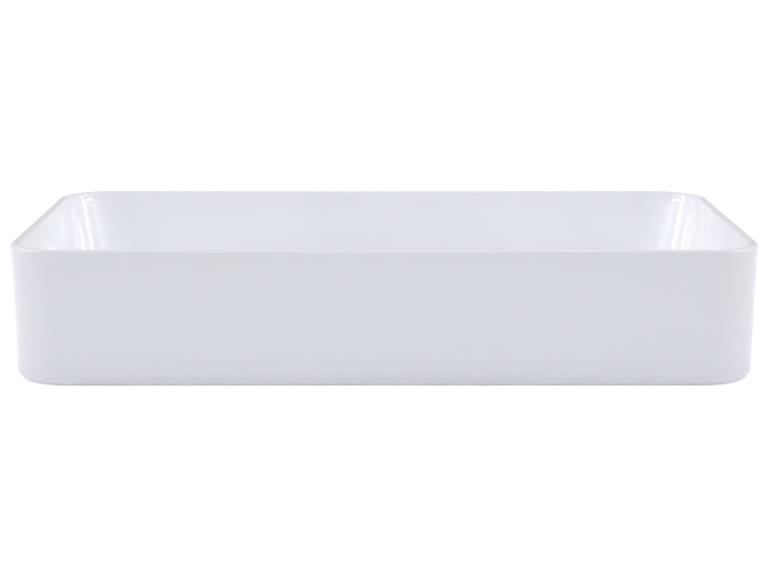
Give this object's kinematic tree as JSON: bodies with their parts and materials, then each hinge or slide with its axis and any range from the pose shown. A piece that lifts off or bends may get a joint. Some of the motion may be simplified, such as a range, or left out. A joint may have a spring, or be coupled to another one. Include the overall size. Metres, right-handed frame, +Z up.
{
  "type": "countertop basin",
  "caption": "Rectangular thin-rim ceramic countertop basin with a central click-down drain waste.",
  "frame": {"origin": "middle of the footprint, on the plane of the foot ring, which is the counter top", "axes": "+Z up, out of the bowl; X along the long side; the front faces -Y"},
  "size_m": [0.6, 0.345, 0.11],
  "materials": {
    "glazed_white": "gloss",
    "grey_rubber": "matte",
    "black_rubber": "satin",
    "chrome": "polished",
    "white_plastic": "satin",
    "brass": "satin",
    "spring_steel": "satin"
  },
  "bodies": {
    "basin": {"ceramic_basin": "glazed_white", "flange_gasket": "grey_rubber", "waste_body": "chrome", "lower_washer": "grey_rubber", "slip_washer": "white_plastic", "back_nut": "brass", "cartridge_barrel": "white_plastic", "cartridge_end_cap": "white_plastic", "spindle_oring": "black_rubber", "return_spring": "spring_steel"},
    "plug": {"index_rotor": "white_plastic", "spindle": "brass", "plug_carrier": "white_plastic", "plug_seal": "black_rubber", "plug_cap": "chrome"}
  },
  "joints": [
    {"name": "plug_press", "type": "slide", "parent": "basin", "child": "plug", "axis": [0, 0, 1], "range_m": [-0.009, 0], "stiffness_N_per_m": 700, "springref_m": 0.006, "deforming": ["return_spring"]}
  ]
}
